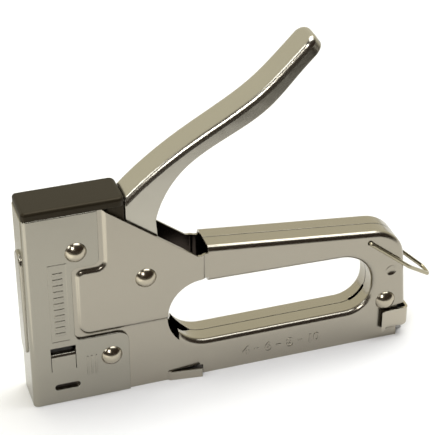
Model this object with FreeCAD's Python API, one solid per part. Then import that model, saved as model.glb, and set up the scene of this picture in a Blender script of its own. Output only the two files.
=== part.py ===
import FreeCAD, Part
import math
import os

# Hand staple gun, all pressed steel, for fine-wire staples.  Millimetres.
# X runs from the nose to the rear, Z up from the work surface, Y across; Y = 0 is the mid-plane.
# Sizes along X are written from the front face of the nose.  At the end every piece is moved so
# that the origin lies where the staple leaves the tool: in the plane of the driver blade, on the base.

V = FreeCAD.Vector
os.makedirs("parts", exist_ok=True)

# ---------------------------------------------------------------- driving dimensions
# staple and widths
crown = 11.4               # width over the legs of the staple
crown_play = 0.2           # staple to channel, each side
channel_wall = 0.8
shell_wall = 1.0
sleeve_wall = 1.0
plateau_rise = 1.0         # height of the raised panel round the lever pivot

# overall
head_height = 87.0         # base to the top edge of the sleeve
rear_x = 159.2             # rear of the shells at the height of the rear rivet
grip_front_z = 60.9        # top of the grip where the lever slot ends
grip_rear_z = 53.9         # top of the grip at its rear end
base_thickness = 16.0      # bar under the fingers, to the top of its flange

# finger hole
hole_front_x = 58.4
hole_height = 28.7         # at its front end
hole_fall = 2.0            # drop of its top edge towards the rear
flange_start_x = 67.5      # the lower flange of the hole is at full width from here
flange_taper = 7.0         # and narrows to nothing over this length in front
hole_rear_gap = 15.6       # hole to the rear of the shells
bend = 2.4                 # outer radius of the folded flanges
seam = 0.3                 # gap between the flanges of the two shells

# pressed head
shell_front_x = 2.0
slot_front_x = 30.5        # where the sloping lever slot starts, at the top of the head
slot_rear_x = 72.9         # where it ends and the grip flange starts
slot_toe = 4.5             # level step between the sloping slot and the grip flange
sleeve_top_depth = 29.0    # sleeve side, above and beside the raised panel
sleeve_low_depth = 39.6    # sleeve side, under the raised panel
sleeve_low_z = 29.2
panel_low_z = 30.8
panel_step_drop = 26.0     # from the head's top down to the panel's step
panel_front_x = 19.6
panel_top_x = 31.0
panel_rear_x = 71.6
panel_slope = 1.2          # run of the panel's sloping side
panel_round = 1.9

dimple_back, dimple_z = 7.5, 33.4                 # pressed mark near the tail
dimple_radius, dimple_depth, dimple_wall = 2.5, 0.8, 0.8
corner_gap = 1.5           # between the flanges in the hole's rear lower corner

# cap
cap_height = 3.5
cap_rear_x = 40.0
cap_side_play = 0.4

# rivets and bushes
rivet_shank = 4.8
rivet_head = 4.3           # radius
rivet_dome = 2.6
bush_wall = 1.1
pivot_x, pivot_z = 47.2, 52.7
upper_rivet_x, upper_rivet_drop = 20.1, 16.9      # drop from the head's top
lower_rivet_x, lower_rivet_z = 32.4, 18.7
rear_rivet_back, rear_rivet_z = 9.4, 18.7         # back: from the rear of the shells
running_play = 0.05        # radial, lever on its bush

# lever
lever_side_play = 0.5      # lever narrower than the shells' outer width, each side
lever_wall = 1.2
lever_front_x = 40.4
lever_neck = 11.7          # length of the neck along X
lever_depth = 7.0          # depth of the handle's side walls
lever_tip_round = 5.0
lever_edge_round = 2.6
arm_thickness = 2.0
arm_reach = 24.0           # pivot to the end of the lifting arm
arm_up = 2.5               # arm's working edge above its centre line
arm_half_swing = 23.0      # degrees, each side of level
pin_x = 27.0
pin_radius = 2.25
pin_play = 0.15

# hammer, blade and main spring
blade_thickness = 0.8
blade_gap = 0.1
blade_bottom = 0.4
hammer_rear_x = 14.5
hammer_low_z = 30.0
lug_half = 3.4
lug_drop = 0.35            # hammer's top face down to the lug's
bumper_height = 5.8
spring_outer = 6.0         # radius of the main spring
spring_wire = 1.8
spring_x = 8.8
seat_height = 1.2
plug_depth = 4.0

# magazine
channel_low_z = 0.3
channel_inside_z = 11.6
channel_front_x = 2.4
rail_half = 4.8
rail_wall = 0.8
rail_low_z = 0.5
rail_high_z = 9.9
rail_front_x = 2.1
rod_radius = 1.2
rod_z = 5.4
pusher_length = 12.0
pusher_play = 0.2
follower_outer = 2.6       # radius of the pusher spring
follower_wire = 0.6
end_block_length = 12.0
tail_wall = 1.0
tail_gap = 0.6             # end cap cheek to shell
tail_length = 10.2
tail_low_z, tail_high_z = 4.1, 14.0

# bail
wire = 1.6                 # wire diameter
bail_hole = 2.2
bail_back, bail_z = 17.6, 48.7
bail_straight = 23.0       # parallel part of its legs
bail_length = 38.0
bail_tip_round = 3.0
bail_droop = 39.5          # degrees below level at rest
bail_gap = 0.1             # wire to shell

# ---------------------------------------------------------------- worked out from those
channel_inner = crown / 2 + crown_play
shell_inner = channel_inner + channel_wall
shell_half = shell_inner + shell_wall
sleeve_half = shell_half + sleeve_wall
panel_half = shell_half + plateau_rise
lever_half = shell_half - lever_side_play
bush_radius = rivet_shank / 2 + bush_wall
blade_x = sleeve_wall + blade_gap
blade_mid_x = blade_x + blade_thickness / 2
hammer_front_x = blade_x + blade_thickness
upper_rivet_z = head_height - upper_rivet_drop
panel_step_z = head_height - panel_step_drop
rear_rivet_x = rear_x - rear_rivet_back
hole_rear_x = rear_x - hole_rear_gap
bail_x = rear_x - bail_back
shell_tail_x = rear_x - 3.7          # side walls under the rear step end here
step_z = base_thickness - 0.6        # height of that step
# keeps the wall of the panel's sloping side as thick as the sheet
panel_inset = shell_wall * math.tan(math.atan2(plateau_rise, panel_slope) / 2)
arm_in = lever_half - lever_wall - arm_thickness
arm_out = lever_half - lever_wall
pin_reach = pivot_x - pin_x
swing = math.radians(arm_half_swing)
pin_low_z = pivot_z - pin_reach * math.tan(swing) + (pin_radius + arm_up) / math.cos(swing) + pin_play
seat_z = head_height - plug_depth
hammer_top_z = pin_low_z - pin_radius + 0.2
tail_x = rear_x + 1.0


# ---------------------------------------------------------------- drawing helpers
def outline(corners, offsets=None, y=0.0):
    """Closed wire in an XZ plane.  Corners (x, z, radius) run counter-clockwise seen from -Y;
    side i leaves corner i, and offsets[i] moves it outwards."""
    count = len(corners)
    offsets = offsets or [0.0] * count
    lines = []
    for i in range(count):
        x0, z0, _ = corners[i]
        x1, z1, _ = corners[(i + 1) % count]
        length = math.hypot(x1 - x0, z1 - z0)
        ux, uz = (x1 - x0) / length, (z1 - z0) / length
        lines.append((x0 + uz * offsets[i], z0 - ux * offsets[i], ux, uz))
    points = []
    for i in range(count):
        ax, az, aux, auz = lines[i - 1]
        bx, bz, bux, buz = lines[i]
        cross = aux * buz - auz * bux
        t = ((bx - ax) * buz - (bz - az) * bux) / cross
        turn = math.atan2(cross, aux * bux + auz * buz)
        grow = (offsets[i - 1] + offsets[i]) / 2 * (1 if turn > 0 else -1)
        radius = max(corners[i][2] + grow, 0.0) if corners[i][2] > 0 else 0.0
        points.append((ax + aux * t, az + auz * t, radius, abs(turn)))
    edges = []
    ends = []
    for i in range(count):
        x, z, radius, turn = points[i]
        back = radius * math.tan(turn / 2)
        _, _, aux, auz = lines[i - 1]
        _, _, bux, buz = lines[i]
        start = V(x - aux * back, y, z - auz * back)
        end = V(x + bux * back, y, z + buz * back)
        if radius > 0:
            inward = V(bux - aux, 0, buz - auz)
            inward.normalize()
            middle = V(x, y, z) + inward * (radius / math.cos(turn / 2) - radius)
            edges.append(Part.Arc(start, middle, end).toShape())
        ends.append((start, end, len(edges)))
    sides = []
    for i in range(count):
        start = ends[i][1]
        end = ends[(i + 1) % count][0]
        if (end - start).Length > 1e-6:
            sides.append(Part.LineSegment(start, end).toShape())
    return Part.Wire(Part.__sortEdges__(edges + sides))


def plate(corners, y0, y1, offsets=None):
    """Flat outline made solid from y0 to y1."""
    return Part.Face(outline(corners, offsets, y0)).extrude(V(0, y1 - y0, 0))


def both_sides(shape):
    return shape.fuse(shape.mirror(V(0, 0, 0), V(0, 1, 0)))


def box(x0, x1, y0, y1, z0, z1):
    return Part.makeBox(x1 - x0, y1 - y0, z1 - z0, V(x0, y0, z0))


def across(x, z, radius, y0, y1):
    """Cylinder along Y."""
    return Part.makeCylinder(radius, y1 - y0, V(x, y0, z), V(0, 1, 0))


def upright(x, radius, z0, z1):
    """Cylinder along Z on the mid-plane."""
    return Part.makeCylinder(radius, z1 - z0, V(x, 0, z0), V(0, 0, 1))


def round_edges(shape, radius, test):
    """Fillets the edges whose bounding box passes the test."""
    return shape.makeFillet(radius, [e for e in shape.Edges if test(e.BoundBox)])


def flat_at(low, high, level):
    return abs(low - level) < 1e-4 and abs(high - level) < 1e-4


def save(name, shape):
    """Writes one sub-part, moved so that the origin is the staple's exit."""
    moved = shape.copy()
    moved.translate(V(-blade_mid_x, 0, 0))
    moved.exportStep("parts/" + name + ".step")


# ---------------------------------------------------------------- shells
def body_corners():
    """Side view of a shell, counter-clockwise from the foot of the nose."""
    notch_z = grip_front_z - bend - 0.4
    return [
        (shell_front_x, 0, 0),
        (shell_tail_x, 0, 0),
        (shell_tail_x, step_z, 0),
        (rear_x, step_z, 0),
        (rear_x - 2.8, grip_rear_z - 2.1, 15.0),
        (slot_rear_x, grip_front_z, 0),
        (slot_rear_x, notch_z, 0),
        (slot_rear_x - slot_toe, notch_z, 0),
        (slot_front_x, head_height, 0),
        (shell_front_x, head_height, 0),
    ]


def hole_corners():
    """Finger hole between its flanges."""
    top = base_thickness + hole_height
    return [
        (hole_front_x, base_thickness, 14.7),
        (hole_rear_x, base_thickness, 11.0),
        (hole_rear_x, top - hole_fall, 14.4),
        (hole_front_x, top, 12.2),
    ]


def panel_corners():
    """Foot of the raised panel; it runs past the lever slot and the finger hole, which cut it."""
    beyond = head_height + 10
    return [
        (panel_front_x, panel_low_z, 5.0),
        (panel_rear_x, panel_low_z, 5.0),
        (panel_rear_x, beyond, 5.0),
        (panel_top_x, beyond, 5.0),
        (panel_top_x, panel_step_z, 3.2),
        (panel_front_x, panel_step_z, 3.2),
    ]


def pressed_block(skin):
    """Solid with the outer form of a shell; skin moves every formed face inwards."""
    side = -(shell_half - skin)
    top = -(panel_half - skin)
    inset = -panel_inset * (skin / shell_wall)
    panel = plate(panel_corners(), top, side + 1, [inset] * len(panel_corners()))
    crest = [e for e in panel.Edges if flat_at(e.BoundBox.YMin, e.BoundBox.YMax, top)]
    panel = panel.makeChamfer(plateau_rise, panel_slope, crest)
    panel = round_edges(panel, panel_round - skin, lambda b: flat_at(b.YMin, b.YMax, top))
    slab = box(-20, rear_x + 20, side, 0, -20, head_height + 20)
    block = slab.fuse(panel).removeSplitter()

    def at_foot(b):
        inside = b.XMin > 0 and b.XMax < rear_x and b.ZMin > 0
        return inside and flat_at(b.YMin, b.YMax, side)
    block = round_edges(block, panel_round + skin, at_foot)
    flanged = [0, 0, 0, -skin, -skin, 0, 0, 0, 0, 0]
    block = block.common(plate(body_corners(), -2 * panel_half, 0, flanged))
    block = block.cut(plate(hole_corners(), -2 * panel_half, 1, [skin] * 4))
    block = block.cut(hole_relief())

    def folded(b):
        on_face = flat_at(b.YMin, b.YMax, side) and b.XMin > slot_rear_x - 0.5
        past_slot = b.XMax > slot_rear_x + 1
        at_step = flat_at(b.ZMin, b.ZMax, step_z)
        return on_face and past_slot and b.ZMin > step_z - 1 and not at_step
    return round_edges(block, bend - skin, folded)


def hole_relief():
    """Front of the finger hole, cut without a flange."""
    relief = plate(hole_corners(), -2 * panel_half, 1, [bend + 0.2] * 4)
    middle = base_thickness + hole_height / 2
    upper = box(0, slot_rear_x + 0.1, -2 * panel_half, 1, middle, head_height)
    lower = box(0, flange_start_x - flange_taper, -2 * panel_half, 1, 0, middle + 1)
    return relief.common(upper.fuse(lower))


def flange_end():
    """Slanting cut that narrows the front end of the hole's lower flange."""
    start = flange_start_x - flange_taper
    corners = [V(start - 3, -shell_half + bend, 0), V(start, -shell_half + bend, 0),
               V(flange_start_x, 0, 0), V(flange_start_x, 1, 0), V(start - 3, 1, 0)]
    middle = base_thickness + hole_height / 2
    wedge = Part.Face(Part.makePolygon(corners + corners[:1])).extrude(V(0, 0, middle))
    return wedge.common(plate(hole_corners(), -2 * panel_half, 1, [bend + 0.2] * 4))


def lance_tab():
    """Ear sheared from the foot of the shell and bent outwards."""
    x0, x1, height, flare, jog = 56.3, 69.5, 4.0, 2.4, 0.8
    points = [
        V(x0 - jog, -shell_inner, 0),
        V(x0 - jog, -shell_half, 0),
        V(x0, -shell_half - jog, 0),
        V(x1, -shell_half - flare, 0),
        V(x1, -shell_inner - flare, 0),
        V(x0 + jog, -shell_inner - jog, 0),
        V(x0 + jog, -shell_inner, 0),
    ]
    ear = Part.Face(Part.makePolygon(points + points[:1])).extrude(V(0, 0, height))
    window = box(x0 + jog, x1 + 0.9, -2 * panel_half, 0, -1, height + 0.3)
    return ear, window


def dimple():
    """Shallow dish pressed in from outside, and the bulge it leaves inside."""
    ball = (dimple_radius ** 2 + dimple_depth ** 2) / (2 * dimple_depth)
    centre = V(rear_x - dimple_back, -shell_half - ball + dimple_depth, dimple_z)
    dish = Part.makeSphere(ball, centre)
    bulge = Part.makeSphere(ball + dimple_wall, centre)
    return dish, bulge.common(box(0, rear_x, -shell_inner - 0.1, 0, 0, head_height))


def left_shell():
    shell = pressed_block(0).cut(pressed_block(shell_wall))
    shell = shell.cut(box(0, rear_x + 5, -seam / 2, 1, -1, head_height + 1))
    for x, z in rivet_places():
        shell = shell.cut(across(x, z, rivet_shank / 2, -20, 0))
    shell = shell.cut(across(bail_x, bail_z, bail_hole / 2, -20, 0))
    ear, window = lance_tab()
    shell = shell.cut(window).fuse(ear)
    shell = shell.cut(box(hole_rear_x - 7, hole_rear_x + bend, -corner_gap / 2, 1,
                          base_thickness - bend - 0.5, base_thickness + 7))
    shell = shell.cut(flange_end())
    dish, bulge = dimple()
    shell = shell.fuse(bulge).cut(dish)
    shell = shell.cut(sleeve_window()).cut(sight())
    return shell.removeSplitter()


def rivet_places():
    return [
        (pivot_x, pivot_z),
        (upper_rivet_x, upper_rivet_z),
        (lower_rivet_x, lower_rivet_z),
        (rear_rivet_x, rear_rivet_z),
    ]


# ---------------------------------------------------------------- sleeve and cap
window_x0, window_x1 = 7.9, 18.0
window_low_z, window_flap_z, window_high_z = 16.0, 23.8, 27.2
rib_half, rib_rise, rib_low_z, rib_drop = 4.7, 1.0, 22.5, 17.5
sight_x0, sight_x1 = 10.2, 17.7          # slot that shows the staples left
sight_low_z, sight_high_z = 6.5, 9.3


def sleeve_window():
    return box(window_x0, window_x1, -20, 0, window_low_z, window_high_z)


def sight():
    """Slot with round ends, through sleeve and shell."""
    middle, half = (sight_low_z + sight_high_z) / 2, (sight_high_z - sight_low_z) / 2
    slot = box(sight_x0, sight_x1, -20, 0, sight_low_z, sight_high_z)
    for x in (sight_x0, sight_x1):
        slot = slot.fuse(across(x, middle, half, -20, 0))
    return slot


def sleeve_flap():
    """Tongue left in the window, bent in at its top to carry the bumper."""
    gap = 0.25
    x0, x1 = window_x0 + gap, window_x1 - gap
    inner = shell_inner - 2.4
    tongue = box(x0, x1, -sleeve_half, -inner, window_low_z, window_flap_z)
    tongue = round_edges(tongue, 1.6, lambda b: flat_at(b.ZMin, b.ZMax, window_flap_z)
                         and flat_at(b.YMin, b.YMax, -sleeve_half))
    hollow = box(x0 - 1, x1 + 1, -sleeve_half + sleeve_wall, 0, window_low_z - 1,
                 window_flap_z - sleeve_wall)
    return tongue.cut(round_edges(hollow, 0.6, lambda b: b.XLength > 5 and flat_at(
        b.ZMin, b.ZMax, window_flap_z - sleeve_wall) and b.YMax < -shell_inner))


def sleeve_corners():
    return [
        (0, 0, 0),
        (sleeve_low_depth, 0, 0),
        (sleeve_low_depth, sleeve_low_z, 4.5),
        (panel_front_x - 1.6, sleeve_low_z, 3.0),
        (panel_front_x - 1.6, panel_step_z + 1.9, 2.4),
        (sleeve_top_depth, panel_step_z + 1.9, 3.0),
        (sleeve_top_depth, head_height, 0),
        (0, head_height, 0),
    ]


def front_sleeve():
    """Nose cover, folded from one sheet round the front of both shells."""
    sleeve = plate(sleeve_corners(), -sleeve_half, sleeve_half)
    front = 2.0
    sleeve = round_edges(sleeve, front, lambda b: flat_at(b.XMin, b.XMax, 0) and b.ZLength > 1
                         and b.YLength < 1e-3)
    inside = box(sleeve_wall, 60, -shell_half, shell_half, -1, head_height + 1)
    inside = round_edges(inside, front - sleeve_wall,
                         lambda b: flat_at(b.XMin, b.XMax, sleeve_wall) and b.YLength < 1e-3)
    rib_high_z = head_height - rib_drop

    def rib(x0, x1, half):
        low, high = rib_low_z + rib_half, rib_high_z - rib_half
        bar = box(x0, x1, -half, half, low, high)
        for z in (low, high):
            bar = bar.fuse(Part.makeCylinder(half, x1 - x0, V(x0, 0, z), V(1, 0, 0)))
        return bar.removeSplitter()
    outer_rib = rib(-rib_rise, 0.5, rib_half)
    outer_rib = round_edges(outer_rib, 0.7, lambda b: flat_at(b.XMin, b.XMax, -rib_rise))
    sleeve = sleeve.fuse(outer_rib).removeSplitter()
    sleeve = sleeve.cut(inside).cut(rib(0, 2, rib_half - 0.9))

    def on_face(b):
        level = max(abs(b.YMin), abs(b.YMax))
        return flat_at(abs(b.YMin), abs(b.YMax), sleeve_half) and b.XMax > 3 and level > 1
    sleeve = round_edges(sleeve, 0.35, on_face)
    openings = sleeve_window().fuse(sight())
    for x, z in rivet_places()[1:3]:
        openings = openings.fuse(across(x, z, rivet_shank / 2, -20, 0))
    sleeve = sleeve.cut(both_sides(openings))
    return sleeve.fuse(both_sides(sleeve_flap())).removeSplitter()


def top_cap():
    """Moulded cap; its plug closes the head and its tail fills the front of the lever slot."""
    half = sleeve_half - 0.2
    cap = box(0.3, cap_rear_x, -half, half, head_height, head_height + cap_height)
    cap = round_edges(cap, 2.6, lambda b: b.ZLength > 1 and b.XMin > 30)
    cap = round_edges(cap, 1.6, lambda b: b.ZLength > 1 and b.XMax < 2)
    cap = round_edges(cap, 1.4, lambda b: flat_at(b.ZMin, b.ZMax, head_height + cap_height))
    tail_x0 = panel_top_x + panel_slope + shell_wall
    tail_half = panel_half - shell_wall - cap_side_play
    tail = box(tail_x0, cap_rear_x, -tail_half, tail_half, head_height - 9, head_height)
    tail = round_edges(tail, 0.8, lambda b: b.ZLength > 1 and b.XMin > 39)
    plug = box(shell_front_x + 0.6, tail_x0, -shell_inner, shell_inner, seat_z, head_height)
    return cap.fuse(tail).fuse(plug).removeSplitter()


# ---------------------------------------------------------------- rivets and bushes
def rivet(x, z, grip):
    """Domed at both ends; grip is half the thickness that it clamps."""
    ball = (rivet_head ** 2 + rivet_dome ** 2) / (2 * rivet_dome)
    centre = grip + rivet_dome - ball
    head = Part.makeSphere(ball, V(x, -centre, z))
    head = head.common(box(x - 9, x + 9, -grip - 5, -grip, z - 9, z + 9))
    shape = both_sides(head).fuse(across(x, z, rivet_shank / 2, -grip, grip))
    return shape.removeSplitter()


def bush(x, z, half):
    tube = across(x, z, bush_radius, -half, half)
    return tube.cut(across(x, z, rivet_shank / 2, -half, half))


# ---------------------------------------------------------------- lever
def lever_top(skin):
    """Curve along the top of the handle, from behind the cap to the tip; skin moves it inwards."""
    start = V(lever_front_x, 0, head_height + 1.7)
    rises = [(0, 0), (12.0, 10.2), (24.0, 18.4), (41.0, 28.3), (53.0, 36.2), (64.0, 46.3),
             (74.4, 56.9)]
    curve = Part.BSplineCurve()
    curve.interpolate([start + V(x, 0, z) for x, z in rises])
    if skin == 0:
        return curve
    moved = []
    for x, z in rises:
        along = V(*curve.tangent(curve.parameter(start + V(x, 0, z)))[0])
        moved.append(start + V(x, 0, z) + V(along.z, 0, -along.x) * skin)
    ahead = moved[0] - moved[1]
    ahead.normalize()
    inner = Part.BSplineCurve()
    inner.interpolate([moved[0] + ahead * 3] + moved[1:])
    return inner


def lever_block(skin):
    """Solid with the outer form of the handle, or with its inside form and open below."""
    half = lever_half - skin
    top = lever_top(skin)
    tip = top.EndPoint
    along = V(*top.tangent(top.LastParameter)[0])
    down = V(along.z, 0, -along.x)
    boss = pivot_x - lever_front_x
    if skin == 0:
        foot = tip + down * (lever_depth - 0.6) - along * 1.2
        start = top.StartPoint
        under = [(67.7, 41.1), (56.4, 29.4), (39.1, 19.2), (21.8, 7.6), (14.6, -3.0),
                 (lever_neck, -11.5)]
        lower = Part.BSplineCurve()
        lower.interpolate([foot] + [start + V(x, 0, z) for x, z in under])
        right = V(pivot_x + boss, 0, pivot_z)
        left = V(lever_front_x, 0, pivot_z)
        bottom = V(pivot_x, 0, pivot_z - boss)
        edges = [top.toShape(), Part.LineSegment(tip, foot).toShape(), lower.toShape(),
                 Part.LineSegment(lower.EndPoint, right).toShape(),
                 Part.Arc(right, bottom, left).toShape(),
                 Part.LineSegment(left, start).toShape()]
    else:
        tip = top.value(top.parameter(tip - along * skin))
        top.segment(top.FirstParameter, top.parameter(tip))
        foot = tip + down * 3 * lever_depth
        low = V(foot.x, 0, pivot_z - 2 * boss)
        corner = V(top.StartPoint.x, 0, pivot_z - 2 * boss)
        edges = [top.toShape(), Part.LineSegment(tip, foot).toShape(),
                 Part.LineSegment(foot, low).toShape(), Part.LineSegment(low, corner).toShape(),
                 Part.LineSegment(corner, top.StartPoint).toShape()]
    block = Part.Face(Part.Wire(edges))
    block.translate(V(0, -half, 0))
    block = block.extrude(V(0, 2 * half, 0))

    def at_tip(b):
        return b.YLength < 1e-3 and abs(b.XMax - foot.x) < 0.05 and abs(b.ZMax - tip.z) < 0.05
    block = round_edges(block, lever_tip_round - skin, at_tip)
    web_low = top.StartPoint.z - 0.05

    def beside_web(b):
        return b.ZMin > web_low and b.ZMax > tip.z - 2 and b.ZMax < tip.z + 0.3
    return round_edges(block, lever_edge_round - skin, beside_web)


def lever():
    """Handle: a deep-drawn channel, open below, closed round its tip."""
    channel = lever_block(0).cut(lever_block(lever_wall))
    return channel.cut(across(pivot_x, pivot_z, bush_radius + running_play, -20, 20))


def turned(dx, dz, angle):
    """Offset from the pivot, turned by an angle in degrees."""
    a = math.radians(angle)
    return V(pivot_x + dx * math.cos(a) - dz * math.sin(a), 0,
             pivot_z + dx * math.sin(a) + dz * math.cos(a))


def lift_arm():
    """One hardened arm, spot-welded inside the lever; its nose lifts the hammer's pin."""
    aim = 180 + arm_half_swing
    boss = pivot_x - lever_front_x
    points = [turned(0, -arm_up, aim), turned(arm_reach, -arm_up, aim),
              turned(arm_reach, arm_up - 1, aim), turned(0, boss, aim)]
    arm = Part.Face(Part.makePolygon(points + points[:1]))
    arm.translate(V(0, -arm_out, 0))
    arm = arm.extrude(V(0, arm_thickness, 0))
    neck = box(lever_front_x + 2, lever_front_x + lever_neck - 1, -arm_out, -arm_in,
               pivot_z, head_height - 9)
    shape = arm.fuse(neck).fuse(across(pivot_x, pivot_z, boss, -arm_out, -arm_in)).removeSplitter()
    return shape.cut(across(pivot_x, pivot_z, bush_radius + running_play, -20, 20))


def return_spring():
    """Torsion spring: coil on the pivot bush, one leg under the web, one behind the lower bush."""
    coil_wire = 1.2
    inner = bush_radius + 0.4
    coil = across(pivot_x, pivot_z, inner + coil_wire, -3.0, 3.0)
    coil = coil.cut(across(pivot_x, pivot_z, inner, -3.0, 3.0))
    x = pivot_x - inner - coil_wire / 2
    up = upright(x, coil_wire / 2, pivot_z, head_height + lever_neck)
    up.translate(V(0, -2.3, 0))
    up = up.common(lever_block(lever_wall + 0.1))
    foot = V(lower_rivet_x + bush_radius + coil_wire / 2 + 0.1, 2.3, lower_rivet_z)
    head = V(x, 2.3, pivot_z - 1)
    down = Part.makeCylinder(coil_wire / 2, (head - foot).Length, foot, head - foot)
    return coil.fuse(up).fuse(down)


# ---------------------------------------------------------------- hammer, blade and main spring
def hammer():
    """Steel block behind the blade; its nose goes through the blade, its lug carries the pin."""
    half = shell_inner - 1.0
    block = box(hammer_front_x, hammer_rear_x, -half, half, hammer_low_z, hammer_top_z)
    block = round_edges(block, 0.8, lambda b: b.ZLength > 1 and b.XMin > hammer_rear_x - 0.1)
    nose_half = rib_half - 1.2
    nose = box(0.4, hammer_front_x, -nose_half, nose_half, hammer_low_z + 3, hammer_low_z + 11)
    lug_top = hammer_top_z - lug_drop
    lug = box(hammer_rear_x - 1, pin_x, -lug_half, lug_half, lug_top - 6.5, lug_top)
    boss = across(pin_x, pin_low_z, pin_radius + 1.2, -lug_half, lug_half)
    post = box(pin_x - pin_radius - 1.2, pin_x + pin_radius + 1.2, -lug_half, lug_half,
               lug_top - 6.5, pin_low_z)
    shape = block.fuse(nose).fuse(lug).fuse(boss).fuse(post).removeSplitter()
    return shape.cut(across(pin_x, pin_low_z, pin_radius, -20, 20))


def lift_pin():
    return across(pin_x, pin_low_z, pin_radius, -arm_out, arm_out)


def driver_blade():
    half = crown / 2 - 0.2
    blade = box(blade_x, blade_x + blade_thickness, -half, half, blade_bottom, hammer_top_z - 1)
    nose_half = rib_half - 1.2
    return blade.cut(box(0, 5, -nose_half, nose_half, hammer_low_z + 3, hammer_low_z + 11))


def main_spring():
    """Envelope of the coil spring between the hammer and its seat."""
    tube = upright(spring_x, spring_outer, hammer_top_z, seat_z - seat_height)
    return tube.cut(upright(spring_x, spring_outer - spring_wire, hammer_top_z, seat_z))


def spring_seat():
    """Pressed washer with a spigot that centres the main spring."""
    washer = upright(spring_x, spring_outer + 0.2, seat_z - seat_height, seat_z)
    spigot = upright(spring_x, spring_outer - spring_wire - 0.3, seat_z - seat_height - 6, seat_z)
    return washer.fuse(spigot).removeSplitter()


def bumper_pad():
    half = shell_inner - 0.3
    low = window_flap_z
    pad = box(hammer_front_x + 1, window_x1 - 0.6, -half, half, low, low + bumper_height)
    return round_edges(pad, 1.0, lambda b: b.ZLength > 1)


# ---------------------------------------------------------------- magazine
def magazine_channel():
    """Track for the legs of the staples, welded between the shells, open below."""
    rear = shell_tail_x - 6
    outer = box(channel_front_x, rear, -shell_inner, shell_inner, channel_low_z,
                channel_inside_z + channel_wall)
    inner = box(0, rear + 1, -channel_inner, channel_inner, -1, channel_inside_z)
    outer = round_edges(outer, 1.0, lambda b: b.XLength > 9 and b.ZMin > channel_inside_z)
    return outer.cut(inner)


def core_rail():
    """Channel, open above, that the staples ride on."""
    rear = tail_x - tail_wall
    rail = box(rail_front_x, rear, -rail_half, rail_half, rail_low_z, rail_high_z)
    inner = rail_half - rail_wall
    return rail.cut(box(0, 400, -inner, inner, rail_low_z + rail_wall, 40))


def end_block():
    """Block that joins the rail and the rod to the end cap."""
    rear = tail_x - tail_wall
    half = rail_half - rail_wall
    block = box(rear - end_block_length, rear, -half, half, rail_low_z + rail_wall, rail_high_z)
    rod = Part.makeCylinder(rod_radius, 8, V(rear - end_block_length, 0, rod_z), V(1, 0, 0))
    return block.cut(rod)


def guide_rod():
    front = rail_front_x + 1.5
    rear = tail_x - tail_wall - end_block_length + 8
    return Part.makeCylinder(rod_radius, rear - front, V(front, 0, rod_z), V(1, 0, 0))


pusher_x = rail_front_x + 1.2


def pusher():
    """Saddle that rides over the rail, with a block inside it that slides on the rod."""
    outer = channel_inner - pusher_play
    top = channel_inside_z - pusher_play
    x0, x1 = pusher_x, pusher_x + pusher_length
    saddle = box(x0, x1, -outer, outer, rail_low_z + 0.6, top)
    gap = rail_half + pusher_play
    inside = rail_half - rail_wall - pusher_play
    slot_top = rail_high_z + pusher_play
    slots = both_sides(box(0, 60, -gap, -inside, -1, slot_top))
    floor = box(0, 60, -gap, gap, -1, rail_low_z + rail_wall + pusher_play)
    rod = Part.makeCylinder(rod_radius + 0.15, 60, V(0, 0, rod_z), V(1, 0, 0))
    return saddle.cut(slots).cut(floor).cut(rod)


def pusher_spring():
    """Envelope of the long spring on the rod, from the pusher to the end block."""
    x0 = pusher_x + pusher_length
    length = tail_x - tail_wall - end_block_length - x0
    tube = Part.makeCylinder(follower_outer, length, V(x0, 0, rod_z), V(1, 0, 0))
    return tube.cut(Part.makeCylinder(follower_outer - follower_wire, length, V(x0, 0, rod_z),
                                      V(1, 0, 0)))


def end_cap():
    """Pull of the magazine: a strip folded round the tail, its front edges flared for grip."""
    half = shell_half + tail_gap + tail_wall
    x0 = tail_x - tail_length
    cap = box(x0, tail_x, -half, half, tail_low_z, tail_high_z)
    cap = round_edges(cap, 2.0, lambda b: b.ZLength > 1 and b.XMin > x0 + 1)
    cap = round_edges(cap, 2.5, lambda b: flat_at(b.ZMin, b.ZMax, tail_low_z)
                      and flat_at(b.XMin, b.XMax, tail_x) and b.YLength > 1)
    inner = box(x0 - 9, tail_x - tail_wall, -half + tail_wall, half - tail_wall, -1, 90)
    inner = round_edges(inner, 1.0, lambda b: b.ZLength > 1 and b.XMin > x0)
    cap = cap.cut(inner)
    lip = [V(x0 + 0.2, -half, 0), V(x0 + 0.2, -half + tail_wall, 0), V(x0 - 1.4, -half, 0),
           V(x0 - 2.0, -half - 0.7, 0)]
    flare = Part.Face(Part.makePolygon(lip + lip[:1])).extrude(V(0, 0, tail_high_z - tail_low_z))
    flare.translate(V(0, 0, tail_low_z))
    return cap.fuse(both_sides(flare)).removeSplitter()


# ---------------------------------------------------------------- bail
def lock_bail():
    """Wire loop: two legs hooked into the shells, drawn together beyond the tail."""
    y = shell_half + bail_gap + wire / 2
    hook = 1.6
    droop = math.radians(bail_droop)

    def at(t, side):
        return V(bail_x + t * math.cos(droop), side, bail_z - t * math.sin(droop))
    corners = [
        (at(0, -y + hook + 0.8), 0),
        (at(0, -y), 1.0),
        (at(bail_straight, -y), 6.0),
        (at(bail_length + 0.2, -bail_tip_round), bail_tip_round * 0.8),
        (at(bail_length + 0.2, bail_tip_round), bail_tip_round * 0.8),
        (at(bail_straight, y), 6.0),
        (at(0, y), 1.0),
        (at(0, y - hook - 0.8), 0),
    ]
    return rod_along(corners, wire / 2)


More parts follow.
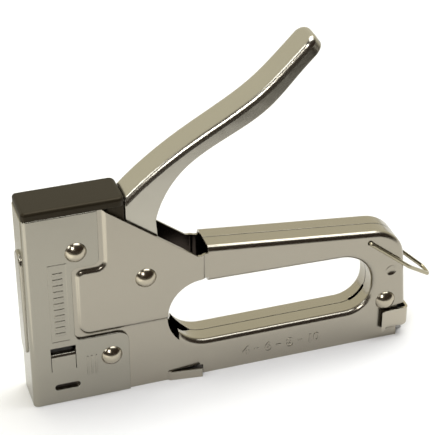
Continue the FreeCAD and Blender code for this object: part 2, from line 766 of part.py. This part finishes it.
def rod_along(corners, radius):
    """Round bar along straight runs joined by tangent arcs; corners are (point, bend radius)."""
    edges = []
    last = corners[0][0]
    for i in range(1, len(corners) - 1):
        point, turn_radius = corners[i]
        before = point - corners[i - 1][0]
        after = corners[i + 1][0] - point
        before.normalize()
        after.normalize()
        turn = before.getAngle(after)
        back = turn_radius * math.tan(turn / 2)
        start = point - before * back
        end = point + after * back
        inward = after - before
        inward.normalize()
        middle = point + inward * (turn_radius / math.cos(turn / 2) - turn_radius)
        edges.append(Part.LineSegment(last, start).toShape())
        edges.append(Part.Arc(start, middle, end).toShape())
        last = end
    edges.append(Part.LineSegment(last, corners[-1][0]).toShape())
    path = Part.Wire(edges)
    first = corners[1][0] - corners[0][0]
    ring = Part.Wire(Part.makeCircle(radius, corners[0][0], first))
    return path.makePipeShell([ring], True, False)


# ---------------------------------------------------------------- write the sub-parts
def both(shape):
    """A pair of like pieces as one group of separate solids."""
    return Part.makeCompound([shape, shape.mirror(V(0, 0, 0), V(0, 1, 0))])


near_shell = left_shell()
save("left_shell", near_shell)
save("right_shell", near_shell.mirror(V(0, 0, 0), V(0, 1, 0)))
save("front_sleeve", front_sleeve())
save("top_cap", top_cap())

grips = {"pivot_rivet": panel_half, "upper_rivet": sleeve_half, "lower_rivet": sleeve_half,
         "rear_rivet": shell_half}
for name, (x, z) in zip(grips, rivet_places()):
    save(name, rivet(x, z, grips[name]))
save("pivot_bush", bush(pivot_x, pivot_z, panel_half - shell_wall))
save("spacer_bushes", Part.makeCompound([bush(x, z, shell_inner) for x, z in rivet_places()[1:]]))

save("lever", lever())
save("lift_arms", both(lift_arm()))
save("return_spring", return_spring())

save("hammer", hammer())
save("lift_pin", lift_pin())
save("driver_blade", driver_blade())
save("main_spring", main_spring())
save("spring_seat", spring_seat())
save("bumper_pad", bumper_pad())

save("magazine_channel", magazine_channel())
save("core_rail", core_rail())
save("end_block", end_block())
save("guide_rod", guide_rod())
save("pusher", pusher())
save("pusher_spring", pusher_spring())
save("end_cap", end_cap())
save("lock_bail", lock_bail())
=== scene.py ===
import bpy
import math
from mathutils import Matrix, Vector


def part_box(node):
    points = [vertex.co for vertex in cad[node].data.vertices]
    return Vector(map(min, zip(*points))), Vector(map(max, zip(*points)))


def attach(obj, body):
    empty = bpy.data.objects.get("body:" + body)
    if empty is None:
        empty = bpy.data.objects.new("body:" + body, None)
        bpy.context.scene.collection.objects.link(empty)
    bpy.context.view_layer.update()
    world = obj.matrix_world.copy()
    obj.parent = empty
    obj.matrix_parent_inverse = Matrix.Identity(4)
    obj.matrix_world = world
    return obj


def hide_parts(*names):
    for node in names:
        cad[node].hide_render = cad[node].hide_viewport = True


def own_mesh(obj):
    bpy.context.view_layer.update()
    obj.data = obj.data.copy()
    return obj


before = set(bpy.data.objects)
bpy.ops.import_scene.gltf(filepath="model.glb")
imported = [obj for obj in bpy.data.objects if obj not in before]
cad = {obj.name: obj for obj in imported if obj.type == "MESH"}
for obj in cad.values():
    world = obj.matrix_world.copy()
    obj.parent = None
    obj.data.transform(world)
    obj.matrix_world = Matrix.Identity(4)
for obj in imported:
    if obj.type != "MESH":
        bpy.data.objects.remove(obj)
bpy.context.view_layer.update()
bpy.ops.object.select_all(action="DESELECT")


# ------------------------------------------------------------ shells and magazine end cap
# Two mirror-image shells and the flared end of the magazine: low-carbon steel sheet a millimetre
# thick, cut and drawn in a press, tumbled to break the edges, then nickel plated.  The rolling
# grain shows faintly through the plating and the sheet is never quite flat.
MM = 0.001


def finish(name):
    """New material; gives it with a function that adds a node to it and its Principled shader."""
    material = bpy.data.materials.new(name)
    material.use_nodes = True
    tree = material.node_tree
    shader = tree.nodes["Principled BSDF"]

    def add(kind, group=None, **sockets):
        node = tree.nodes.new(kind)
        if group:
            node.node_tree = group
        wire_up(tree, node, sockets)
        return node
    return material, add, shader


def wire_up(tree, node, sockets):
    """Sets each named input of a node: another node's output is linked, a plain value is set."""
    for name, value in sockets.items():
        socket = node.inputs[name.replace("_", " ")]
        if isinstance(value, bpy.types.NodeSocket):
            tree.links.new(value, socket)
        else:
            socket.default_value = value


def effect(name, ins, outs):
    """New node group with named inputs and outputs; gives it with its ends and an adder."""
    group = bpy.data.node_groups.new(name, "ShaderNodeTree")
    for label, kind, value in ins:
        socket = group.interface.new_socket(label, in_out="INPUT", socket_type="NodeSocket" + kind)
        if value is not None:
            socket.default_value = value
    for label, kind in outs:
        group.interface.new_socket(label, in_out="OUTPUT", socket_type="NodeSocket" + kind)
    start = group.nodes.new("NodeGroupInput").outputs
    end = group.nodes.new("NodeGroupOutput")

    def add(kind, **sockets):
        node = group.nodes.new(kind)
        wire_up(group, node, sockets)
        return node

    def result(**sockets):
        wire_up(group, end, sockets)
    return group, start, add, result


def sum_of(add, what, a, b):
    """Math node; what is its operation."""
    node = add("ShaderNodeMath")
    node.operation = what
    tree = node.id_data
    for socket, value in zip(node.inputs, (a, b)):
        if isinstance(value, bpy.types.NodeSocket):
            tree.links.new(value, socket)
        else:
            socket.default_value = value
    return node.outputs[0]


def sheet_grain():
    """Rolling grain, slow cloud and fine pits of plated sheet, for a place on the piece."""
    group, start, add, result = effect(
        "Sheet Grain",
        [("Place", "Vector", None), ("Grain", "Float", 1500.0), ("Cloud", "Float", 45.0),
         ("Streaks", "Float", 0.08), ("Patches", "Float", 0.08), ("Waviness", "Float", 1.0)],
        [("Tone", "Float"), ("Roughness", "Float"), ("Height", "Float")])
    stretched = add("ShaderNodeMapping", Vector=start["Place"], Scale=(0.03, 1.0, 1.0))
    streak = add("ShaderNodeTexNoise", Vector=stretched.outputs[0], Scale=start["Grain"],
                 Detail=3.0, Roughness=0.6)
    patch = add("ShaderNodeTexNoise", Vector=start["Place"], Scale=start["Cloud"], Detail=2.0)
    streaks = sum_of(add, "MULTIPLY", sum_of(add, "SUBTRACT", streak.outputs[0], 0.5),
                     start["Streaks"])
    patches = sum_of(add, "MULTIPLY", sum_of(add, "SUBTRACT", patch.outputs[0], 0.5),
                     start["Patches"])
    both = sum_of(add, "ADD", streaks, patches)
    pit = add("ShaderNodeTexVoronoi", Vector=start["Place"], Scale=700.0)
    pits = add("ShaderNodeMapRange", Value=pit.outputs["Distance"])
    pits.inputs["From Min"].default_value = 0.04
    pits.inputs["From Max"].default_value = 0.10
    pits.inputs["To Min"].default_value = -0.22
    pits.inputs["To Max"].default_value = 0.0
    slow = add("ShaderNodeTexNoise", Vector=start["Place"], Scale=120.0, Detail=1.0)
    wave = sum_of(add, "MULTIPLY", slow.outputs[0], start["Waviness"])
    fine = sum_of(add, "MULTIPLY", streak.outputs[0], 0.05)
    result(Tone=sum_of(add, "ADD", sum_of(add, "ADD", both, pits.outputs[0]), 1.0),
           Roughness=sum_of(add, "SUBTRACT", patches, streaks),
           Height=sum_of(add, "ADD", wave, fine))
    return group


def broken_edge():
    """Softened normal at a sheet's cut and folded edges, and a mask of where they are rubbed."""
    group, start, add, result = effect(
        "Broken Edge", [("Radius", "Float", 0.0003), ("Place", "Vector", None)],
        [("Normal", "Vector"), ("Rubbed", "Float")])
    soft = add("ShaderNodeBevel", Radius=start["Radius"])
    soft.samples = 6
    flat = add("ShaderNodeNewGeometry")
    turn = add("ShaderNodeVectorMath")
    turn.operation = "DOT_PRODUCT"
    group.links.new(soft.outputs[0], turn.inputs[0])
    group.links.new(flat.outputs["Normal"], turn.inputs[1])
    patchy = add("ShaderNodeTexNoise", Vector=start["Place"], Scale=400.0, Detail=4.0)
    rubbed = add("ShaderNodeMapRange", Value=turn.outputs["Value"])
    rubbed.inputs["From Min"].default_value = 0.98
    rubbed.inputs["From Max"].default_value = 0.80
    result(Normal=soft.outputs[0],
           Rubbed=sum_of(add, "MULTIPLY", rubbed.outputs[0], patchy.outputs[0]))
    return group


def inner_face_shade():
    """Mask of the faces that look at the tool's mid-plane, where painted shade darkens the inside
    of the shells.
    """
    group, start, add, result = effect(
        "Inner Face Shade", [("Place", "Vector", None), ("Facing", "Vector", None)],
        [("Mask", "Float")])
    place = add("ShaderNodeSeparateXYZ", Vector=start["Place"])
    facing = add("ShaderNodeSeparateXYZ", Vector=start["Facing"])
    side = add("ShaderNodeMath")
    side.operation = "SIGN"
    group.links.new(place.outputs["Y"], side.inputs[0])
    inwards = sum_of(add, "MULTIPLY", side.outputs[0], facing.outputs["Y"])
    mask = add("ShaderNodeMapRange", Value=inwards)
    mask.inputs["From Min"].default_value = -0.2
    mask.inputs["From Max"].default_value = -0.6
    result(Mask=mask.outputs[0])
    return group


GRAIN = sheet_grain()
EDGE = broken_edge()
INNER_SHADE = inner_face_shade()


def mix_colour(add, amount, plain, other):
    """Colour mix; each end is a colour or another node's output."""
    mix = add("ShaderNodeMix")
    mix.data_type = "RGBA"
    tree = mix.id_data
    tree.links.new(amount, mix.inputs[0])
    for socket, value in zip((s for s in mix.inputs if s.type == "RGBA"), (plain, other)):
        if isinstance(value, bpy.types.NodeSocket):
            tree.links.new(value, socket)
        else:
            socket.default_value = (*value, 1)
    return [s for s in mix.outputs if s.type == "RGBA"][0]


def plated(name, colour, roughness, radius=0.3 * MM, bump=0.06, rub=0.25, inner_shade=0.0, **grain):
    """Nickel-plated steel; grain sets the sheet grain's own inputs; a non-zero inner-face amount
    paints shade, darkening the faces that look in towards the mid-plane.
    """
    material, add, shader = finish(name)
    place = add("ShaderNodeTexCoord").outputs["Object"]
    surface = add("ShaderNodeGroup", GRAIN, Place=place, **grain)
    edge = add("ShaderNodeGroup", EDGE, Radius=radius, Place=place)
    tone = add("ShaderNodeVectorMath")
    tone.operation = "SCALE"
    tone.inputs[0].default_value = colour
    worn = sum_of(add, "ADD", surface.outputs["Tone"],
                  sum_of(add, "MULTIPLY", edge.outputs["Rubbed"], rub))
    tone.id_data.links.new(worn, tone.inputs["Scale"])
    relief = add("ShaderNodeBump", Strength=bump, Distance=MM, Height=surface.outputs["Height"],
                 Normal=edge.outputs["Normal"])
    wire_up(shader.id_data, shader, {
        "Base Color": tone.outputs[0], "Metallic": 1.0, "Normal": relief.outputs[0],
        "Roughness": sum_of(add, "ADD", surface.outputs["Roughness"], roughness)})
    # Painted shade: faces looking inwards are mixed towards near black, standing in for the shade
    # inside the shells and the lever.
    if inner_shade:
        facing = add("ShaderNodeTexCoord").outputs["Normal"]
        inner = add("ShaderNodeGroup", INNER_SHADE, Place=place, Facing=facing).outputs["Mask"]
        painted_shade = sum_of(add, "MULTIPLY", inner, inner_shade)
        wire_up(shader.id_data, shader, {
            "Base Color": mix_colour(add, painted_shade, tone.outputs[0], (0.03, 0.024, 0.02))})
    return material


def dress(material, *names):
    """Gives CAD nodes a material."""
    for name in names:
        slots = cad[name].data.materials
        slots.clear()
        slots.append(material)


# Painted shade darkens the inner faces of the shells and the end cap.
dress(plated("shell plating", (0.345, 0.318, 0.262), 0.24, inner_shade=1.0, Streaks=0.03, Patches=0.05),
      "left_shell", "right_shell")
dress(plated("end cap plating", (0.42, 0.385, 0.315), 0.22, inner_shade=0.8, Streaks=0.03), "end_cap")


# ------------------------------------------------------------ nose sleeve
# Sheet folded round the nose and held by the two front rivets.  It is drawn deeper than the
# shells, so its plating is a little smoother.
# Painted shade darkens the sleeve's inner faces.
sleeve_plating = plated("sleeve plating", (0.315, 0.297, 0.248), 0.24, inner_shade=1.0, Streaks=0.02,
                        Patches=0.05)
dress(sleeve_plating, "front_sleeve")


def block(name, low, high):
    """Box between two corners, in millimetres, as a new piece."""
    middle = [MM * (a + b) / 2 for a, b in zip(low, high)]
    size = [MM * (b - a) for a, b in zip(low, high)]
    bpy.ops.mesh.primitive_cube_add(size=1, location=middle, scale=size)
    bpy.ops.object.transform_apply(location=True, rotation=True, scale=True)
    piece = bpy.context.object
    piece.name = name
    return piece


def joined(name, pieces):
    """One piece made of several."""
    bpy.ops.object.select_all(action="DESELECT")
    for piece in pieces:
        piece.select_set(True)
    bpy.context.view_layer.objects.active = pieces[0]
    if len(pieces) > 1:
        bpy.ops.object.join()
    pieces[0].name = name
    bpy.ops.object.select_all(action="DESELECT")
    return pieces[0]


def modify(piece, kind, **settings):
    """Adds a modifier and applies it."""
    bpy.ops.object.select_all(action="DESELECT")
    piece.select_set(True)
    bpy.context.view_layer.objects.active = piece
    modifier = piece.modifiers.new(kind.lower(), kind)
    for label, value in settings.items():
        setattr(modifier, label, value)
    bpy.ops.object.modifier_apply(modifier=modifier.name)


def embossed(name, pieces, material, body="frame"):
    """Joins raised marks, rounds their edges and fixes them to a body."""
    piece = joined(name, pieces)
    modify(piece, "BEVEL", width=0.09 * MM, segments=2, limit_method="ANGLE")
    piece.data.materials.clear()
    piece.data.materials.append(material)
    piece.select_set(True)
    bpy.context.view_layer.objects.active = piece
    bpy.ops.object.shade_smooth_by_angle(angle=math.radians(40))
    piece.select_set(False)
    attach(piece, body)
    return piece


def lip(name, x0, x1, z0, z1, face, rise):
    """Raised outline: a block on a side face, its front inset and sunk."""
    piece = block(name, (x0, face - rise, z0), (x1, face + rooted, z1))
    bpy.context.view_layer.objects.active = piece
    piece.select_set(True)
    bpy.ops.object.mode_set(mode="EDIT")
    bpy.ops.mesh.select_all(action="DESELECT")
    bpy.ops.object.mode_set(mode="OBJECT")
    for polygon in piece.data.polygons:
        polygon.select = polygon.normal.y < -0.9
    bpy.ops.object.mode_set(mode="EDIT")
    bpy.ops.mesh.select_mode(type="FACE")
    bpy.ops.mesh.inset(thickness=0.45 * MM)
    bpy.ops.transform.translate(value=(0, (rise + 0.1) * MM, 0))
    bpy.ops.object.mode_set(mode="OBJECT")
    piece.select_set(False)
    return piece


# Stamped from behind: a plain panel of ribs in an outline, and three bars by the lower rivet.
sleeve_face = -8.7
rooted = 0.15                                # depth of every mark's foot in the sheet
rib_step, rib_width = 2.8, 1.3
bar_step, bar_width = 1.7, 0.75
marks = [lip("sleeve_marks", 7.2, 14.6, 30.0, 66.0, sleeve_face, 0.22)]
for i in range(11):
    z = 33.0 + rib_step * i
    marks.append(block("rib", (8.9, sleeve_face - 0.24, z),
                       (12.9, sleeve_face + rooted, z + rib_width)))
for i in range(3):
    x = 20.6 + bar_step * i
    marks.append(block("bar", (x, sleeve_face - 0.22, 11.6),
                       (x + bar_width, sleeve_face + rooted, 20.6)))
embossed("sleeve_marks", marks, sleeve_plating)

# Staple leg lengths in millimetres, embossed on the bar under the fingers.
shell_face = -7.7
figures = []
for label, x in (("4", 86.0), ("6", 95.5), ("8", 105.0), ("10", 114.0)):
    bpy.ops.object.text_add()
    figure = bpy.context.object
    figure.data.body = label
    figure.data.size = 5.6 * MM
    figure.data.extrude = 0.22 * MM
    figure.data.offset = 0.16 * MM
    bpy.ops.object.convert(target="MESH")
    figure = bpy.context.object
    figure.rotation_euler = (math.radians(90), 0, 0)
    figure.location = (x * MM, shell_face * MM, 5.0 * MM)
    bpy.ops.object.transform_apply(location=True, rotation=True, scale=True)
    figure.select_set(False)
    figures.append(figure)
for x in (91.0, 100.5, 110.0):
    figures.append(block("dash", (x, shell_face - 0.2, 6.4), (x + 2.0, shell_face + rooted, 7.1)))
embossed("size_marks", figures, bpy.data.materials["shell plating"])


# ------------------------------------------------------------ rivets
# Solid steel rivets, headed cold with a cupped tool and plated bright; the domes are the
# smoothest surface on the tool.
dress(plated("rivet plating", (0.42, 0.378, 0.295), 0.2, radius=0.2 * MM, bump=0.02, Streaks=0.02),
      "pivot_rivet", "upper_rivet", "lower_rivet", "rear_rivet")


# ------------------------------------------------------------ lever
# Deep-drawn handle: a channel open below and closed round its tip, polished before plating, with
# faint drawing lines left in it.
# Painted shade darkens the faces inside the lever's channel.
dress(plated("lever plating", (0.405, 0.385, 0.33), 0.23, inner_shade=1.0, Streaks=0.03, Patches=0.05),
      "lever")


# ------------------------------------------------------------ cap
# Moulded in brown-black nylon, with a fine spark-eroded texture, rubbed smooth and faintly paler
# on its edges.
def moulded(name, colour, roughness, sheen=(0.10, 0.085, 0.06)):
    """Moulded plastic or rubber; sheen is the colour its rubbed edges turn."""
    material, add, shader = finish(name)
    place = add("ShaderNodeTexCoord").outputs["Object"]
    speckle = add("ShaderNodeTexNoise", Vector=place, Scale=2600.0, Detail=2.0)
    cloud = add("ShaderNodeTexNoise", Vector=place, Scale=90.0, Detail=3.0)
    edge = add("ShaderNodeGroup", EDGE, Radius=0.5 * MM, Place=place)
    amount = sum_of(add, "ADD", sum_of(add, "MULTIPLY", edge.outputs["Rubbed"], 0.6),
                    sum_of(add, "MULTIPLY", cloud.outputs[0], 0.12))
    colours = mix_colour(add, amount, colour, sheen)
    relief = add("ShaderNodeBump", Strength=0.25, Distance=0.05 * MM, Height=speckle.outputs[0],
                 Normal=edge.outputs["Normal"])
    rough = add("ShaderNodeMapRange", Value=cloud.outputs[0])
    rough.inputs["To Min"].default_value = roughness - 0.06
    rough.inputs["To Max"].default_value = roughness + 0.06
    wire_up(shader.id_data, shader, {"Base Color": colours, "Roughness": rough.outputs[0],
                                     "Normal": relief.outputs[0]})
    return material


cap_nylon = moulded("cap nylon", (0.012, 0.009, 0.005), 0.4, sheen=(0.045, 0.037, 0.026))
cap_shader = cap_nylon.node_tree.nodes["Principled BSDF"]
cap_shader.inputs["Specular IOR Level"].default_value = 0.24
cap_shader.inputs["Specular Tint"].default_value = (1.0, 0.86, 0.6, 1)
dress(cap_nylon, "top_cap")


# ------------------------------------------------------------ lock wire
# Hard-drawn wire 1.6 mm thick, bent to a loop and zinc plated; the zinc has dulled to olive and
# its patches show.
dress(plated("lock wire zinc", (0.36, 0.325, 0.23), 0.3, radius=0.1 * MM, bump=0.03,
             Patches=0.2), "lock_bail")


# ------------------------------------------------------------ magazine track and rail
# Strip folded square.  The outer track is phosphated dark; the rail the staples ride on is zinc
# plated, and both are rubbed paler along their edges.
dress(plated("track phosphate", (0.12, 0.11, 0.10), 0.4, radius=0.15 * MM), "magazine_channel")
dress(plated("rail zinc", (0.36, 0.36, 0.345), 0.3, radius=0.15 * MM), "core_rail")


# ------------------------------------------------------------ hammer, blade, pin and lifting arms
# Hardened and oil-blacked, patchy from the quench, paler on their edges where they rub.
dress(plated("hardened steel", (0.16, 0.155, 0.15), 0.34, Patches=0.2), "hammer", "lift_pin",
      "driver_blade", "lift_arms")


# ------------------------------------------------------------ bushes, rod and spring seat
# Turned from bright bar and left plain, with fine tool marks.
dress(plated("turned steel", (0.42, 0.42, 0.41), 0.2, Grain=2500.0), "pivot_bush",
      "spacer_bushes", "guide_rod", "spring_seat")


# ------------------------------------------------------------ springs
# Patented spring wire, coiled cold: a stout one drives the hammer, a light one pushes the staples
# and a torsion spring round the pivot bush raises the lever.
spring_steel = plated("spring wire", (0.25, 0.25, 0.25), 0.3, radius=0.1 * MM)


def coil(name, wire, radius, centre, length, turns, axis, steps=20, sides=8):
    """Helix of round wire with closed end turns; axis is the direction it grows in from centre."""
    closed = 1.1 * wire                      # rise of each closed end turn
    shrink = (length - wire) / length        # wire's centre line against the overall length
    rings = ((0, closed, 1), (closed, length - closed, turns), (length - closed, length, 1))
    parts = []
    for low, high, wound in rings:
        start = ((radius - wire / 2) * MM, 0, (wire / 2 + low * shrink) * MM)
        bpy.ops.mesh.primitive_circle_add(vertices=sides, radius=wire / 2 * MM, location=start,
                                          rotation=(math.radians(90), 0, 0))
        ring = bpy.context.object
        bpy.ops.object.transform_apply(location=True, rotation=True, scale=True)
        modify(ring, "SCREW", angle=2 * math.pi, iterations=wound,
               screw_offset=(high - low) * shrink / wound * MM,
               steps=steps, render_steps=steps, axis="Z", use_merge_vertices=False)
        parts.append(ring)
    spring = joined(name, parts)
    bpy.context.view_layer.objects.active = spring
    spring.select_set(True)
    bpy.ops.object.mode_set(mode="EDIT")
    bpy.ops.mesh.select_all(action="SELECT")
    bpy.ops.mesh.remove_doubles(threshold=0.01 * MM)
    bpy.ops.mesh.fill_holes(sides=0)
    bpy.ops.mesh.normals_make_consistent(inside=False)
    bpy.ops.object.mode_set(mode="OBJECT")
    turn = Vector((0, 0, 1)).rotation_difference(Vector(axis))
    spring.rotation_euler = turn.to_euler()
    spring.location = Vector(centre) * MM
    bpy.ops.object.transform_apply(location=True, rotation=True, scale=True)
    bpy.ops.object.shade_smooth()
    spring.select_set(False)
    spring.data.materials.append(spring_steel)
    return spring


def ends(node, axis):
    """Middle of a CAD node's low end along an axis, and its length, in millimetres."""
    low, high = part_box(node)
    middle = [(a + b) / 2 / MM for a, b in zip(low, high)]
    middle[axis] = low[axis] / MM
    return middle, (high[axis] - low[axis]) / MM


foot, tall = ends("main_spring", 2)
power = coil("power_spring", wire=1.8, radius=6.0, centre=foot, length=tall, turns=6,
             axis=(0, 0, 1), sides=10)
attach(power, "frame")
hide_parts("main_spring")
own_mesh(power)

foot, long = ends("pusher_spring", 0)
feed = coil("feed_spring", wire=0.6, radius=2.6, centre=foot, length=long, turns=52,
            axis=(1, 0, 0), steps=14, sides=6)
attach(feed, "magazine")
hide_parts("pusher_spring")
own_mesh(feed)

dress(spring_steel, "return_spring")


# ------------------------------------------------------------ pusher and end block
# Moulded in grey-black nylon, so that they slide dry on the steel rail; a little glossier than
# rubber and scuffed at the corners.
dress(moulded("pusher nylon", (0.03, 0.03, 0.032), 0.45), "pusher", "end_block")


# ------------------------------------------------------------ bumper
# Block of black rubber that stops the hammer, quite matt.
dress(moulded("bumper rubber", (0.02, 0.02, 0.02), 0.7), "bumper_pad")


# ------------------------------------------------------------ floor
# A pale sheet, matt, far wider than the tool.
bpy.ops.mesh.primitive_plane_add(size=8.0, location=(0, 0, 0))
floor = bpy.context.object
floor.name = "floor"
paper, add_paper, paper_shader = finish("pale paper")
fibre = add_paper("ShaderNodeTexNoise", Vector=add_paper("ShaderNodeTexCoord").outputs["Object"],
                  Scale=30.0, Detail=4.0)
white = mix_colour(add_paper, fibre.outputs[0], (0.885, 0.89, 0.915), (0.91, 0.915, 0.94))
wire_up(paper.node_tree, paper_shader, {"Base Color": white, "Roughness": 0.9})
floor.data.materials.append(paper)


# ------------------------------------------------------------ cards
# Sheets laid flat on the floor out of sight, met only in the tool's reflections: a dark one well
# in front, a grey one behind and to the left, and a white one beside the nose that glows a little.
def card(name, place, spread, colour, **glow):
    """Card of a width and depth; glow sets its shader's emission."""
    bpy.ops.mesh.primitive_plane_add(size=1.0, location=place)
    sheet = bpy.context.object
    sheet.scale = (*spread, 1)
    bpy.ops.object.transform_apply(location=True, rotation=True, scale=True)
    sheet.name = name
    material, _, shader = finish(name.replace("_", " "))
    wire_up(material.node_tree, shader, {"Base_Color": (*colour, 1), "Roughness": 1.0, **glow})
    sheet.data.materials.append(material)
    sheet.visible_camera = False
    sheet.visible_diffuse = False
    sheet.visible_shadow = False


card("dark_card", (0.1, -1.19, 0.002), (2.0, 2.0), (0.03, 0.024, 0.018))
card("grey_card", (-0.27, 0.29, 0.001), (0.5, 0.5), (0.48, 0.46, 0.4))
card("white_card", (-0.22, -0.15, 0.001), (0.4, 0.22), (0.9, 0.9, 0.9),
     Emission_Color=(1, 0.98, 0.94, 1), Emission_Strength=0.6)


# ------------------------------------------------------------ light
# A large soft box overhead, a lower one at each side of the nose, a warm wall behind and a dark
# room in front.
def soft_box(name, place, aim, size, watts, colour):
    """Rectangular lamp turned to a point; size is its width and height."""
    bpy.ops.object.light_add(type="AREA", location=place)
    lamp = bpy.context.object
    lamp.name = name
    lamp.data.shape = "RECTANGLE"
    lamp.data.size, lamp.data.size_y = size
    lamp.data.energy = watts
    lamp.data.color = colour
    lamp.rotation_euler = (Vector(aim) - Vector(place)).to_track_quat("-Z", "Y").to_euler()
    return lamp


soft_box("overhead", (0.42, 0.05, 1.3), (0.08, 0, 0.05), (0.85, 1.1), 14, (0.97, 0.99, 1.0))
soft_box("side window", (-1.1, -0.1, 0.95), (0.05, 0, 0.08), (0.45, 0.5), 3.5, (0.97, 0.99, 1.0))
soft_box("window", (-0.55, -0.9, 1.0), (0.05, 0, 0.05), (0.3, 0.4), 7.0, (1, 0.98, 0.94))

world = bpy.data.worlds.new("studio")
bpy.context.scene.world = world
world.use_nodes = True
sky = world.node_tree
for node in list(sky.nodes):
    sky.nodes.remove(node)
heading = sky.nodes.new("ShaderNodeTexCoord")
split = sky.nodes.new("ShaderNodeSeparateXYZ")
sky.links.new(heading.outputs["Generated"], split.inputs[0])
depth = sky.nodes.new("ShaderNodeMapRange")
sky.links.new(split.outputs["Y"], depth.inputs["Value"])
depth.inputs["From Min"].default_value = -1.0
ramp = sky.nodes.new("ShaderNodeValToRGB")
sky.links.new(depth.outputs[0], ramp.inputs[0])
stops = ramp.color_ramp.elements
stops[0].position, stops[0].color = 0.42, (0.055, 0.04, 0.03, 1)
stops[1].position, stops[1].color = 0.66, (1.0, 0.96, 0.78, 1)
pale_room = sky.nodes.new("ShaderNodeBackground")
pale_room.inputs["Color"].default_value = (0.93, 0.93, 0.92, 1)
room = sky.nodes.new("ShaderNodeBackground")
sky.links.new(ramp.outputs[0], room.inputs["Color"])
seen = sky.nodes.new("ShaderNodeLightPath")
choice = sky.nodes.new("ShaderNodeMixShader")
sky.links.new(seen.outputs["Is Camera Ray"], choice.inputs[0])
sky.links.new(room.outputs[0], choice.inputs[1])
sky.links.new(pale_room.outputs[0], choice.inputs[2])
out = sky.nodes.new("ShaderNodeOutputWorld")
sky.links.new(choice.outputs[0], out.inputs["Surface"])
bpy.context.scene.view_settings.view_transform = "Standard"

# ------------------------------------------------------------ camera
# A long lens, a little above and to the left of the nose.
eye, aim = Vector((-0.0859, -0.5006, 0.4058)), Vector((0.0776, 0, 0.0688))
bpy.ops.object.camera_add(location=eye)
camera = bpy.context.object
camera.rotation_euler = (aim - eye).to_track_quat("-Z", "Y").to_euler()
camera.data.sensor_width = 36.0
camera.data.lens = 132.4
camera.data.clip_start = 0.05
camera.data.clip_end = 20.0
bpy.context.scene.camera = camera
